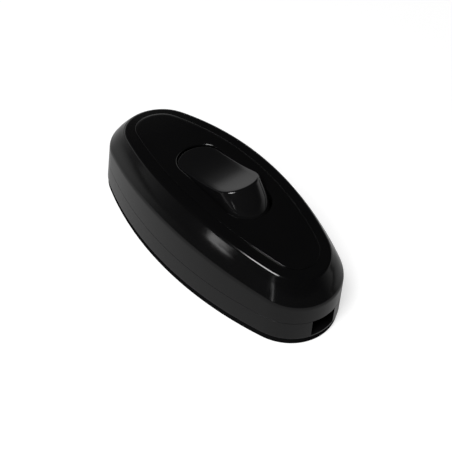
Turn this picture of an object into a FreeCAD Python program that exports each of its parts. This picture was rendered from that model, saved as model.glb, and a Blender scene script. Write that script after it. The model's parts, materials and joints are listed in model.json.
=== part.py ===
import FreeCAD, Part
import math
import os
import re
import Sketcher

V = FreeCAD.Vector

# Tests on the model: the least that a cut takes away, and how steeply a face looks up
SMALLEST_CUT = 0.01
LEVEL_SLOPE = 0.95
LEAST_SLOPE = 0.3
UPRIGHT_SLOPE = 0.2
CLOSE = 0.1

# Bands of the rocker's curved ends, and sides and straight lengths of the spring's wire
ROCKER_BANDS = 6
WIRE_SIDES = 6
LENGTHS_PER_TURN = 12

# Driving dimensions in millimetres, and angles in degrees
SIZES = {
    # Casing outline at the foot, and the wall that leans in as it rises
    "half_length": 40.5,
    "half_width": 18.2,
    "end_radius": 13.4,
    "wall_lean": 0.05,
    "parting_height": 7.7,
    "foot_height": 2.2,
    "foot_bend": 0.9,
    "foot_ledge": 0.15,
    "foot_inset": 1.2,
    "foot_bend_inset": 0.2,
    # Cover: sloped skirt, arched crown and raised panel
    "shoulder_height": 12.9,
    "shoulder_flare": 1.45,
    "shoulder_radius_step": 0.2,
    "crown_height": 21.7,
    "crown_drop": 4.1,
    "skirt_end_run": 6.6,
    "skirt_side_run": 5.25,
    "skirt_radius_run": 4.2,
    "panel_end_inset": 7.8,
    "panel_side_inset": 7.45,
    "panel_radius_run": 2.4,
    "panel_step": 0.35,
    "shoulder_bevel": 0.7,
    "crown_bevel": 0.6,
    "panel_bevel": 0.25,
    # Shell thicknesses and the lip at the parting line
    "cover_wall": 2.0,
    "roof_thickness": 1.8,
    "base_wall": 2.8,
    "floor_thickness": 2.2,
    "lip_height": 1.2,
    "lip_clearance": 0.1,
    # Cord slots in both ends
    "slot_width": 7.4,
    "slot_sill": 2.7,
    # Rocker, its hole and its pivot
    "pivot_height": 12.0,
    "rocker_tilt": 13.0,
    "rocker_reach": 16.85,
    "rocker_half_width": 5.9,
    "rocker_corner_height": 12.4,
    "rocker_saddle": 1.1,
    "rocker_bevel": 0.5,
    "rocker_skin": 1.7,
    "hole_end_gap": 0.65,
    "hole_side_gap": 0.6,
    "hole_relief": 0.9,
    "trunnion_radius": 2.0,
    "trunnion_length": 2.5,
    "running_clearance": 0.05,
    "cheek_gap": 0.1,
    "cheek_thickness": 2.0,
    "cheek_half_length": 4.0,
    "seat_gap": 0.1,
    # Plunger and its spring in the rocker's hub
    "hub_radius": 3.4,
    "hub_depth": 3.5,
    "plunger_radius": 2.0,
    "plunger_clearance": 0.06,
    "plunger_head_height": 0.5,
    "plunger_nose_length": 0.9,
    "spigot_radius": 1.0,
    "spigot_length": 1.5,
    "spring_length": 6.4,
    "spring_radius": 1.45,
    "spring_wire_radius": 0.22,
    "spring_turns": 5.0,
    # Rocking contact and the brackets under it
    "metal_thickness": 0.8,
    "metal_width": 5.0,
    "contact_half_length": 10.5,
    "contact_rise_angle": 11.0,
    "contact_swing": 8.0,
    "contact_tip_gap": 0.3,
    "contact_tip_radius": 1.6,
    "moving_tip_thickness": 0.6,
    "tip_clearance": 0.17,
    "vertex_height": 4.7,
    "cradle_half_length": 1.8,
    "cradle_seat_gap": 0.05,
    "cradle_relief": 2.0,
    "strip_margin": 0.4,
    # Terminals
    "rocker_gap": 2.65,
    "terminal_length": 6.0,
    "terminal_width": 7.0,
    "terminal_height": 6.5,
    "wire_bore_radius": 1.5,
    "wire_bore_rise": 2.6,
    "bore_end_wall": 1.0,
    "terminal_screw_radius": 1.5,
    "screw_clearance": 0.05,
    "terminal_head_radius": 2.3,
    "terminal_head_height": 1.6,
    "post_gap": 0.5,
    "wall_gap": 0.2,
    "bar_gap": 0.3,
    "link_block_width": 5.4,
    "link_bar_width": 1.6,
    "link_bar_height": 4.0,
    # Cord grips
    "grip_bar_length": 4.4,
    "grip_bar_thickness": 1.8,
    "grip_seat_height": 7.0,
    "grip_tooth_depth": 0.8,
    "tooth_gap": 0.3,
    "grip_post_width": 4.2,
    "grip_screw_radius": 1.1,
    "grip_head_radius": 2.0,
    "grip_head_height": 1.4,
    "grip_screw_length": 6.0,
    # Housing screws from below
    "housing_screw_setback": 15.5,
    "housing_screw_radius": 1.5,
    "housing_screw_length": 12.0,
    "housing_head_radius": 2.8,
    "housing_head_height": 1.8,
    "housing_head_recess": 2.6,
    "housing_tower_radius": 4.0,
    "housing_boss_radius": 3.0,
    "slot_cut_width": 0.7,
    "slot_cut_depth": 0.7,
    "rib_thickness": 0.8,
    "rib_height": 3.6,
    "pilot_spare": 0.2,
    # How far fused forms reach into each other, and how far cuts run past a face
    "bite": 0.5,
    "overrun": 1.0,
}

doc = FreeCAD.newDocument("InlineCordSwitch")
sizes = doc.addObject("Spreadsheet::Sheet", "Sizes")
for row, (alias, number) in enumerate(SIZES.items(), 1):
    sizes.set(f"A{row}", alias)
    sizes.set(f"B{row}", str(number))
    sizes.setAlias(f"B{row}", alias)

# Worked out from the driving dimensions, as formulas of the second sheet
WORKED_OUT = {
    "crown_radius": "(half_length^2 + crown_drop^2) / (2 * crown_drop)",
    "shoulder_radius": "end_radius - shoulder_radius_step",
    "crown_end_radius": "shoulder_radius - skirt_radius_run",
    "panel_end_radius": "crown_end_radius - panel_radius_run",
    "top_length": "half_length - wall_lean * shoulder_height - skirt_end_run",
    "top_width": "half_width - wall_lean * shoulder_height + shoulder_flare - skirt_side_run",
    "shoulder_length": "half_length - wall_lean * shoulder_height",
    "shoulder_width": "half_width - wall_lean * shoulder_height + shoulder_flare",
    "parting_length": "half_length - wall_lean * parting_height",
    "parting_width": "half_width - wall_lean * parting_height",
    "parting_radius": "end_radius - wall_lean * parting_height",
    "upper_length": "half_length - wall_lean * crown_height",
    "upper_width": "half_width - wall_lean * crown_height",
    "upper_radius": "end_radius - wall_lean * crown_height",
    "panel_length": "half_length - panel_end_inset",
    "panel_width": "half_width - panel_side_inset",
    "hole_half_width": "rocker_half_width + hole_side_gap",
    "hole_rim_height": "crown_height - crown_drop * (rocker_reach / half_length)^2",
    "hole_half_length": "sqrt(rocker_reach^2 - (hole_rim_height - pivot_height)^2)"
                        " + hole_end_gap",
    "saddle_reach": "sqrt(rocker_reach^2 - rocker_corner_height^2)",
    "saddle_radius": "(saddle_reach^2 + rocker_saddle^2) / (2 * rocker_saddle)",
    "swept_top": "rocker_corner_height + rocker_bevel",
    "band_top": "rocker_corner_height - rocker_saddle - 2 * rocker_bevel",
    "plunger_tip_depth": "pivot_height - vertex_height - contact_tip_gap",
    "plunger_length": "plunger_tip_depth + plunger_head_height",
    "fixed_tip_thickness": "vertex_height - floor_thickness - metal_thickness"
                           " + (contact_half_length - contact_tip_radius)"
                           " * sin((contact_rise_angle - contact_swing) * 1 deg)"
                           " - (metal_thickness + moving_tip_thickness)"
                           " * cos((contact_rise_angle - contact_swing) * 1 deg)"
                           " - tip_clearance",
    "cheek_offset": "hole_half_width + cheek_gap",
    "lip_length": "parting_length - cover_wall - lip_clearance - wall_lean * lip_height",
    "lip_width": "parting_width - cover_wall - lip_clearance - wall_lean * lip_height",
    "lip_radius": "parting_radius - cover_wall - lip_clearance - wall_lean * lip_height",
    "wall_start": "wall_lean * foot_height",
    "wall_end": "wall_lean * parting_height",
    "ledge_inset": "-foot_ledge",
    # Inner outline of the tray, whose long sides are arcs of the inner side radius
    "inner_length": "parting_length - base_wall",
    "inner_width": "parting_width - base_wall",
    "inner_radius": "parting_radius - base_wall",
    "inner_side": "((inner_length - inner_radius)^2 + inner_width^2 - inner_radius^2)"
                  " / (2 * (inner_width - inner_radius))",
    "side_centre": "inner_width - inner_side",
    # Places along and across the tray, each held off the wall by its gap
    "terminal_reach": "rocker_reach + rocker_gap + terminal_length / 2",
    "grip_reach": "(terminal_reach + terminal_length / 2 + inner_length) / 2",
    "housing_screw_reach": "half_length - housing_screw_setback",
    "housing_screw_offset": "side_centre + sqrt((inner_side - housing_boss_radius - wall_gap)^2"
                            " - housing_screw_reach^2)",
    "link_reach": "housing_screw_reach - housing_tower_radius - post_gap - terminal_length / 2",
    "link_offset": "side_centre + sqrt(inner_side^2 - (link_reach + terminal_length / 2)^2)"
                   " - link_block_width / 2 - wall_gap",
    "link_bar_offset": "cheek_offset + cheek_thickness + bar_gap + link_bar_width / 2",
    "grip_bar_half_width": "sqrt(inner_radius^2 - (grip_reach + grip_bar_length / 2"
                           " - inner_length + inner_radius)^2) - wall_gap",
    "grip_screw_offset": "grip_bar_half_width - grip_head_radius",
}


def qualified(text):
    """Write each size's name in an expression with its sheet in front."""
    def with_sheet(match):
        word = match.group(0)
        if word in SIZES:
            return "Sizes." + word
        if word in WORKED_OUT:
            return "Worked." + word
        return word
    return re.sub(r"[a-z][a-z_]+", with_sheet, text)


worked = doc.addObject("Spreadsheet::Sheet", "Worked")
for row, (alias, formula) in enumerate(WORKED_OUT.items(), 1):
    worked.set(f"A{row}", alias)
    worked.setAlias(f"B{row}", alias)
for row, formula in enumerate(WORKED_OUT.values(), 1):
    own_sheet = qualified(formula).replace("Worked.", "")
    worked.set(f"B{row}", "=" + own_sheet)
doc.recompute()


def size(alias):
    """The present value of a size in either sheet."""
    sheet = sizes if alias in SIZES else worked
    return float(getattr(sheet, alias))


def bind(thing, path, text):
    """Bind a property to an expression of the sizes."""
    thing.setExpression(path, qualified(text))


def place(thing, x="0", y="0", z="0", path="Placement"):
    """Bind the position of a placement to expressions of the sizes."""
    for axis, text in zip("xyz", (x, y, z)):
        if text != "0":
            bind(thing, f"{path}.Base.{axis}", text)


# Sketches
def body(name):
    made = doc.addObject("PartDesign::Body", name)
    made.Label = name
    return made


def sketch(made, name, role="XY_Plane", x="0", y="0", z="0"):
    """A sketch on one of a body's own planes, moved from it by expressions."""
    drawn = made.newObject("Sketcher::SketchObject", name)
    support = [one for one in made.Origin.OriginFeatures if one.Role == role]
    drawn.AttachmentSupport = [(support[0], "")]
    drawn.MapMode = "FlatFace"
    place(drawn, x, y, z, "AttachmentOffset")
    return drawn


def free_sketch(name, z="0"):
    """A level sketch outside any body, at a height given by an expression."""
    drawn = doc.addObject("Sketcher::SketchObject", name)
    place(drawn, z=z)
    return drawn


def dimension(drawn, constraint, text):
    """Add a driving dimension to a sketch and bind it."""
    index = drawn.addConstraint(constraint)
    bind(drawn, f"Constraints[{index}]", text)


def oval(drawn, length, width, radius, inset="0"):
    """Four tangent arcs: half length, half width and end radius, all less an inset."""
    less = size(inset) if inset != "0" else 0.0
    a = size(length) - less
    b = size(width) - less
    r = size(radius) - less
    side = ((a - r) ** 2 + b * b - r * r) / (2 * (b - r))
    turn = math.atan2(side - b, a - r)
    up = V(0, 0, 1)
    arcs = [
        (V(a - r, 0, 0), r, -turn, turn),
        (V(0, b - side, 0), side, turn, math.pi - turn),
        (V(r - a, 0, 0), r, math.pi - turn, math.pi + turn),
        (V(0, side - b, 0), side, math.pi + turn, 2 * math.pi - turn),
    ]
    first = drawn.GeometryCount
    for centre, arc_radius, start, end in arcs:
        circle = Part.Circle(centre, up, arc_radius)
        drawn.addGeometry(Part.ArcOfCircle(circle, start, end), False)
    rule = Sketcher.Constraint
    right, top, left, bottom = range(first, first + 4)
    for one, following in ((right, top), (top, left), (left, bottom), (bottom, right)):
        drawn.addConstraint(rule("Tangent", one, 2, following, 1))
    drawn.addConstraint(rule("PointOnObject", right, 3, -1))
    drawn.addConstraint(rule("Symmetric", right, 3, left, 3, -1, 1))
    drawn.addConstraint(rule("Equal", right, left))
    drawn.addConstraint(rule("Equal", top, bottom))
    ta, tb, tr = (f"({name} - {inset})" for name in (length, width, radius))
    dimension(drawn, rule("DistanceX", left, 3, right, 3, 2 * (a - r)), f"2 * ({ta} - {tr})")
    dimension(drawn, rule("Radius", right, r), tr)
    side_text = f"(({ta} - {tr})^2 + {tb}^2 - {tr}^2) / (2 * ({tb} - {tr}))"
    dimension(drawn, rule("Radius", top, side), side_text)


def stadium(drawn, length_text, radius_text, half_length, radius):
    """A slot outline with half-round ends, centred on the sketch."""
    up = V(0, 0, 1)
    c = half_length - radius
    half = math.pi / 2
    drawn.addGeometry(Part.ArcOfCircle(Part.Circle(V(c, 0, 0), up, radius), -half, half), False)
    drawn.addGeometry(Part.LineSegment(V(c, radius, 0), V(-c, radius, 0)), False)
    drawn.addGeometry(Part.ArcOfCircle(Part.Circle(V(-c, 0, 0), up, radius), half, 3 * half), False)
    drawn.addGeometry(Part.LineSegment(V(-c, -radius, 0), V(c, -radius, 0)), False)
    rule = Sketcher.Constraint
    for one, following in ((0, 1), (1, 2), (2, 3), (3, 0)):
        drawn.addConstraint(rule("Tangent", one, 2, following, 1))
    drawn.addConstraint(rule("PointOnObject", 0, 3, -1))
    drawn.addConstraint(rule("Symmetric", 0, 3, 2, 3, -1, 1))
    dimension(drawn, rule("DistanceX", 2, 3, 0, 3, 2 * c), f"2 * (({length_text}) - ({radius_text}))")
    dimension(drawn, rule("Radius", 0, radius), radius_text)


def circle(drawn, radius_text):
    index = drawn.addGeometry(Part.Circle(V(0, 0, 0), V(0, 0, 1), 1), False)
    drawn.addConstraint(Sketcher.Constraint("Coincident", index, 3, -1, 1))
    dimension(drawn, Sketcher.Constraint("Radius", index, 1), radius_text)


def rectangle(drawn, width_text, height_text):
    """A rectangle centred on the sketch's origin."""
    corners = [V(-1, -1, 0), V(1, -1, 0), V(1, 1, 0), V(-1, 1, 0)]
    for one, following in zip(corners, corners[1:] + corners[:1]):
        drawn.addGeometry(Part.LineSegment(one, following), False)
    rule = Sketcher.Constraint
    for one in range(4):
        drawn.addConstraint(rule("Coincident", one, 2, (one + 1) % 4, 1))
    for one, kind in enumerate(("Horizontal", "Vertical", "Horizontal", "Vertical")):
        drawn.addConstraint(rule(kind, one))
    drawn.addConstraint(rule("Symmetric", 0, 1, 2, 1, -1, 1))
    dimension(drawn, rule("DistanceX", 0, 1, 0, 2, 2), width_text)
    dimension(drawn, rule("DistanceY", 1, 1, 1, 2, 2), height_text)


# Features
def pad(made, drawn, length, up=True, both_ways=False):
    grown = made.newObject("PartDesign::Pad", drawn.Name + "_pad")
    grown.Profile = drawn
    bind(grown, "Length", length)
    grown.Reversed = not up
    if both_ways:
        grown.SideType = "Symmetric"
    return grown


def pocket(made, drawn, length, up=False, both_ways=False):
    cut = made.newObject("PartDesign::Pocket", drawn.Name + "_pocket")
    cut.Profile = drawn
    bind(cut, "Length", length)
    cut.Reversed = up
    if both_ways:
        cut.SideType = "Symmetric"
    return cut


def loft(made, sections, kind="PartDesign::AdditiveLoft", ruled=True):
    through = made.newObject(kind, sections[0].Name + "_loft")
    through.Profile = sections[0]
    through.Sections = sections[1:]
    through.Ruled = ruled
    return through


def free_loft(name, sections):
    through = doc.addObject("Part::Loft", name)
    through.Sections = sections
    through.Solid = True
    through.Ruled = True
    return through


def combine(kind, name, pieces):
    joined = doc.addObject("Part::" + kind, name)
    joined.Shapes = pieces
    return joined


def cut(name, base, tool):
    made = doc.addObject("Part::Cut", name)
    made.Base = base
    made.Tool = tool
    return made


def box(name, length, width, height, x="0", y="0", z="0"):
    """A block centred in plan on x and y, standing on z."""
    made = doc.addObject("Part::Box", name)
    bind(made, "Length", length)
    bind(made, "Width", width)
    bind(made, "Height", height)
    place(made, f"({x}) - ({length}) / 2", f"({y}) - ({width}) / 2", f"({z}) + 0")
    return made


def cylinder(name, radius, height, x="0", y="0", z="0"):
    made = doc.addObject("Part::Cylinder", name)
    bind(made, "Radius", radius)
    bind(made, "Height", height)
    place(made, x, y, z)
    return made


def cross_cylinder(name, radius, length, z):
    """A cylinder lying along Y, centred in plan, with its axis at height z."""
    made = doc.addObject("Part::Cylinder", name)
    bind(made, "Radius", radius)
    bind(made, "Height", length)
    made.Placement = FreeCAD.Placement(V(0, 0, 0), FreeCAD.Rotation(V(1, 0, 0), 90))
    place(made, "0", f"({length}) / 2", z)
    return made


def face_slope(face):
    """How steeply a face looks up at its middle, from -1 to 1."""
    u0, u1, v0, v1 = face.ParameterRange
    return face.normalAt((u0 + u1) / 2, (v0 + v1) / 2).z


def edges_between(shape, test_one, test_other):
    """Numbers of the edges whose two faces pass the two tests, either way round."""
    found = []
    for number, edge in enumerate(shape.Edges, 1):
        faces = shape.ancestorsOfType(edge, Part.Face)
        if len(faces) != 2:
            continue
        one, other = faces
        if (test_one(one) and test_other(other)) or (test_one(other) and test_other(one)):
            found.append(number)
    return found


def edge_feature(kind, name, base, numbers, amount):
    """A fillet or a chamfer of one size along numbered edges."""
    made = doc.addObject("Part::" + kind, name)
    made.Base = base
    made.Edges = [(number, size(amount), size(amount)) for number in numbers]
    return made


def is_level(face):
    return face_slope(face) > LEVEL_SLOPE


def is_sloped(face):
    return LEAST_SLOPE < face_slope(face) < LEVEL_SLOPE


def is_upright(face):
    return abs(face_slope(face)) < UPRIGHT_SLOPE


def faces_down(face):
    return face_slope(face) < -LEVEL_SLOPE


def pivoted(thing):
    """Tilt a piece that is drawn about the rocker's pivot and lift it into place."""
    thing.Placement = FreeCAD.Placement(V(0, 0, 0), FreeCAD.Rotation(V(0, -1, 0), 1))
    bind(thing, "Placement.Rotation.Angle", "rocker_tilt * 1 deg")
    place(thing, z="pivot_height")


# Outer casing surface shared by the cover and the base
def wall_section(name, height, length, width, radius, inset="0"):
    drawn = free_sketch(name, height)
    oval(drawn, length, width, radius, inset)
    return drawn


def crown_cylinder(name, thickness):
    """The arched top as a large cylinder across the casing, lowered by a thickness."""
    return cross_cylinder(name, f"crown_radius + ({thickness})", "4 * half_width",
                          "crown_height - crown_radius")


def casing_block(name, inset, roof):
    """The cover's outer form, or with an inset and a roof its hollow."""
    low = "parting_height"
    sections = [
        wall_section(name + "_wall_low", low, "parting_length", "parting_width",
                     "parting_radius", inset),
        wall_section(name + "_wall_high", "crown_height", "upper_length", "upper_width",
                     "upper_radius", inset),
    ]
    wall = free_loft(name + "_wall", sections)
    skirt_low = wall_section(name + "_skirt_low", "shoulder_height", "shoulder_length",
                             "shoulder_width", "shoulder_radius", inset)
    skirt_high = wall_section(name + "_skirt_high", "crown_height", "top_length", "top_width",
                              "crown_end_radius", inset)
    skirt = free_loft(name + "_skirt", [skirt_low, skirt_high])
    under = box(name + "_under", "3 * half_length", "4 * half_width",
                "shoulder_height - parting_height", z="parting_height")
    roofed = combine("MultiFuse", name + "_roofed", [skirt, under])
    crown = crown_cylinder(name + "_crown", f"-({roof})")
    return combine("MultiCommon", name + "_block", [wall, roofed, crown])


# Cover: crowned shell with the raised panel, the rocker hole and the inner ribs
def build_cover():
    outer = casing_block("cover_outer", "0", "0")
    panel_outline = free_sketch("panel_outline", "shoulder_height")
    oval(panel_outline, "panel_length", "panel_width", "panel_end_radius")
    panel_prism = doc.addObject("Part::Extrusion", "panel_prism")
    panel_prism.Base = panel_outline
    panel_prism.DirMode = "Custom"
    panel_prism.Dir = V(0, 0, 1)
    bind(panel_prism, "LengthFwd", "crown_height + 2 * panel_step - shoulder_height")
    panel_prism.Solid = True
    panel_crown = crown_cylinder("panel_crown", "panel_step")
    panel = combine("MultiCommon", "panel", [panel_prism, panel_crown])
    solid = combine("MultiFuse", "cover_solid", [outer, panel])
    doc.recompute()
    shouldered = edge_feature("Chamfer", "cover_shouldered", solid,
                              edges_between(solid.Shape, is_upright, is_sloped), "shoulder_bevel")
    doc.recompute()
    shape = shouldered.Shape
    crowned = edge_feature("Chamfer", "cover_crowned", shouldered,
                           edges_between(shape, is_sloped, is_level), "crown_bevel")
    doc.recompute()
    shape = crowned.Shape
    panel_edges = []
    step_top = size("crown_height") - size("crown_drop")
    for number in edges_between(shape, is_upright, is_level):
        edge = shape.Edges[number - 1]
        middle = edge.valueAt((edge.FirstParameter + edge.LastParameter) / 2)
        arch = size("crown_radius") - math.sqrt(size("crown_radius") ** 2 - middle.x ** 2)
        above = middle.z - (size("crown_height") - arch)
        if middle.z > step_top and above > size("panel_step") / 2:
            panel_edges.append(number)
    finished = edge_feature("Chamfer", "cover_finished", crowned, panel_edges, "panel_bevel")
    hollow = casing_block("cover_hollow", "cover_wall", "roof_thickness")
    shell = cut("cover_shell", finished, hollow)

    inner = []
    for side in (1, -1):
        inner.append(cylinder(
            f"boss_{'right' if side > 0 else 'left'}", "housing_boss_radius",
            "crown_height - parting_height - seat_gap",
            f"{side} * housing_screw_reach", f"{-side} * housing_screw_offset",
            "parting_height + seat_gap"))
        inner.append(box(
            f"seat_rib_{'back' if side > 0 else 'front'}", "2 * cheek_half_length",
            "cheek_thickness", "crown_height - pivot_height - seat_gap",
            y=f"{side} * (cheek_offset + cheek_thickness / 2)", z="pivot_height + seat_gap"))
    ribs = combine("MultiFuse", "cover_ribs", inner)
    trimmed = combine("MultiCommon", "cover_ribs_trimmed", [ribs, outer])
    with_ribs = combine("MultiFuse", "cover_with_ribs", [shell, trimmed])

    hole_top = free_sketch("hole_top", "crown_height + overrun")
    reach = size("hole_half_length")
    half = size("hole_half_width")
    stadium(hole_top, "hole_half_length", "hole_half_width", reach, half)
    hole_low = free_sketch("hole_low", "crown_height - roof_thickness - 2 * overrun")
    stadium(hole_low, "hole_half_length + hole_relief", "hole_half_width",
            reach + size("hole_relief"), half)
    tools = [free_loft("rocker_hole", [hole_top, hole_low])]
    tools.append(cross_cylinder("trunnion_seats", "trunnion_radius + running_clearance",
                                "2 * (cheek_offset + cheek_thickness + overrun)", "pivot_height"))
    for side in (1, -1):
        tools.append(cylinder(
            f"boss_bore_{'right' if side > 0 else 'left'}",
            "housing_screw_radius + screw_clearance",
            "housing_head_recess + housing_screw_length - parting_height + overrun",
            f"{side} * housing_screw_reach", f"{-side} * housing_screw_offset",
            "parting_height"))
    cover = cut("cover", with_ribs, combine("MultiFuse", "cover_tools", tools))
    cover.Label = "cover"
    return cover


# Base: tray with the rounded foot, the cord slots, the posts and the ribs
def build_base():
    base = body("base")
    foot_bands = (
        ("base_sole", "0", "foot_bend", "foot_inset", "foot_bend_inset"),
        ("base_foot", "foot_bend", "foot_height", "foot_bend_inset", "ledge_inset"),
        ("base_wall_foot", "foot_height", "parting_height", "wall_start", "wall_end"),
    )
    for name, low, high, low_inset, high_inset in foot_bands:
        band = sketch(base, name, z=low)
        oval(band, "half_length", "half_width", "end_radius", low_inset)
        grown = pad(base, band, f"{high} - ({low})")
        bind(grown, "TaperAngle", f"-atan(({high_inset} - {low_inset}) / ({high} - ({low})))")

    tray = sketch(base, "base_tray", z="floor_thickness")
    oval(tray, "parting_length", "parting_width", "parting_radius", "base_wall")
    pocket(base, tray, "parting_height", up=True)
    lip = sketch(base, "base_lip", z="parting_height")
    oval(lip, "parting_length", "parting_width", "parting_radius", "base_wall")
    lip_outer = sketch(base, "base_lip_outer", z="parting_height - bite")
    oval(lip_outer, "lip_length", "lip_width", "lip_radius")
    pad(base, lip_outer, "lip_height + bite")
    pocket(base, lip, "2 * (parting_height - floor_thickness)", both_ways=True)

    for side in (1, -1):
        tag = "right" if side > 0 else "left"
        tower = sketch(base, f"tower_{tag}", x=f"{side} * housing_screw_reach",
                       y=f"{-side} * housing_screw_offset", z="floor_thickness - bite")
        circle(tower, "housing_tower_radius")
        pad(base, tower, "parting_height - floor_thickness + bite")
        cheek = sketch(base, f"cheek_{tag}",
                       y=f"{side} * (cheek_offset + cheek_thickness / 2)",
                       z="floor_thickness - bite")
        rectangle(cheek, "2 * cheek_half_length", "cheek_thickness")
        pad(base, cheek, "pivot_height - floor_thickness + bite")
        for across in (1, -1):
            place_tag = f"{tag}_{'back' if across > 0 else 'front'}"
            post = sketch(base, f"grip_post_{place_tag}", x=f"{side} * grip_reach",
                            y=f"{across} * grip_screw_offset", z="floor_thickness - bite")
            rectangle(post, "grip_post_width", "grip_post_width")
            pad(base, post, "grip_seat_height - floor_thickness + bite")
            rib = sketch(base, f"terminal_rib_{place_tag}", x=f"{side} * terminal_reach",
                         y=f"{across} * (terminal_width / 2 + seat_gap + rib_thickness / 2)",
                         z="floor_thickness - bite")
            rectangle(rib, "terminal_length", "rib_thickness")
            pad(base, rib, "rib_height + bite")
        link_rib = sketch(base, f"link_rib_{tag}", x=f"{side} * link_reach",
                          y="link_offset - link_block_width / 2 - seat_gap - rib_thickness / 2",
                          z="floor_thickness - bite")
        rectangle(link_rib, "terminal_length", "rib_thickness")
        pad(base, link_rib, "rib_height + bite")

    for side in (1, -1):
        tag = "right" if side > 0 else "left"
        slot = sketch(base, f"cord_slot_{tag}", x=f"{side} * half_length", z="slot_sill")
        rectangle(slot, "4 * base_wall", "slot_width")
        pocket(base, slot, "parting_height + lip_height", up=True)
        recess = sketch(base, f"head_recess_{tag}", x=f"{side} * housing_screw_reach",
                        y=f"{-side} * housing_screw_offset")
        circle(recess, "housing_head_radius + 2 * seat_gap")
        pocket(base, recess, "housing_head_recess", up=True)
        bore = sketch(base, f"screw_bore_{tag}", x=f"{side} * housing_screw_reach",
                      y=f"{-side} * housing_screw_offset")
        circle(bore, "housing_screw_radius + 2 * screw_clearance")
        pocket(base, bore, "2 * parting_height", up=True)
        for across in (1, -1):
            place_tag = f"{tag}_{'back' if across > 0 else 'front'}"
            pilot = sketch(base, f"grip_pilot_{place_tag}", x=f"{side} * grip_reach",
                           y=f"{across} * grip_screw_offset", z="grip_seat_height")
            circle(pilot, "grip_screw_radius + screw_clearance")
            pocket(base, pilot, "grip_screw_length - grip_bar_thickness + pilot_spare")
    seats = sketch(base, "trunnion_notches", "XZ_Plane", y="pivot_height")
    circle(seats, "trunnion_radius + running_clearance")
    pocket(base, seats, "4 * half_width", both_ways=True)
    return base


# Rocker: saddle-topped button with curved ends, trunnions and a hub for the plunger
def build_rocker():
    rocker = body("rocker")
    half = size("rocker_half_width")
    low = size("trunnion_radius") / 2
    heights = ["swept_top"]
    levels = [size("swept_top")]
    for number in range(ROCKER_BANDS):
        share = f"{number} / {ROCKER_BANDS - 1}"
        heights.append(f"(band_top - (band_top + trunnion_radius / 2) * {share})")
        levels.append(size("band_top") - (size("band_top") + low) * number / (ROCKER_BANDS - 1))
    sections = []
    for number, (height, level) in enumerate(zip(heights, levels)):
        section = sketch(rocker, f"rocker_section_{number}", z=height)
        reach = math.sqrt(size("rocker_reach") ** 2 - level ** 2)
        stadium(section, f"sqrt(rocker_reach^2 - {height}^2)", "rocker_half_width", reach, half)
        sections.append(section)
    loft(rocker, sections)
    saddle = sketch(rocker, "saddle", "XZ_Plane",
                    y="rocker_corner_height - rocker_saddle + saddle_radius")
    circle(saddle, "saddle_radius")
    saddled = pocket(rocker, saddle, "4 * rocker_half_width", both_ways=True)
    doc.recompute()
    top_edges = []
    shape = saddled.Shape
    low = size("rocker_corner_height") - size("rocker_saddle") - CLOSE
    for number, edge in enumerate(shape.Edges, 1):
        if edge.BoundBox.ZMin > low:
            top_edges.append(f"Edge{number}")
    bevel = rocker.newObject("PartDesign::Chamfer", "top_bevel")
    bevel.Base = (saddled, top_edges)
    bind(bevel, "Size", "rocker_bevel")

    hollow = sketch(rocker, "rocker_hollow", z="-trunnion_radius")
    inner = size("rocker_half_width") - size("rocker_skin")
    ceiling = size("rocker_corner_height") - size("rocker_saddle") - 2 * size("rocker_skin")
    reach = math.sqrt(size("rocker_reach") ** 2 - ceiling ** 2) - size("rocker_skin")
    ceiling_text = "(rocker_corner_height - rocker_saddle - 2 * rocker_skin)"
    stadium(hollow, f"sqrt(rocker_reach^2 - {ceiling_text}^2) - rocker_skin",
            "rocker_half_width - rocker_skin", reach, inner)
    pocket(rocker, hollow, f"{ceiling_text} + trunnion_radius", up=True)
    hub = sketch(rocker, "hub", z="-hub_depth")
    circle(hub, "hub_radius")
    pad(rocker, hub, f"{ceiling_text} + hub_depth + bite")
    web = sketch(rocker, "hub_web", z="-trunnion_radius / 2")
    rectangle(web, "2 * trunnion_radius", "2 * rocker_half_width - rocker_skin")
    pad(rocker, web, f"{ceiling_text} + trunnion_radius / 2 + bite")
    trunnions = sketch(rocker, "trunnions", "XZ_Plane")
    circle(trunnions, "trunnion_radius")
    pad(rocker, trunnions, "2 * (rocker_half_width + trunnion_length)", both_ways=True)
    bore = sketch(rocker, "plunger_bore", z="-hub_depth - overrun")
    circle(bore, "plunger_radius + plunger_clearance")
    pocket(rocker, bore, "hub_depth + overrun + plunger_head_height + spring_length", up=True)
    pivoted(rocker)
    return rocker


# Plunger: round-nosed pin with a spigot inside the spring
def build_plunger():
    nose = doc.addObject("Part::Cone", "plunger_nose")
    bind(nose, "Radius1", "plunger_radius / 2")
    bind(nose, "Radius2", "plunger_radius")
    bind(nose, "Height", "plunger_nose_length")
    place(nose, z="-plunger_tip_depth")
    shank = cylinder("plunger_shank", "plunger_radius", "plunger_length - plunger_nose_length",
                     z="-plunger_tip_depth + plunger_nose_length")
    spigot = cylinder("plunger_spigot", "spigot_radius", "spigot_length",
                      z="-plunger_tip_depth + plunger_length")
    plunger = combine("MultiFuse", "plunger", [nose, shank, spigot])
    plunger.Label = "plunger"
    pivoted(plunger)
    return plunger


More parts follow.
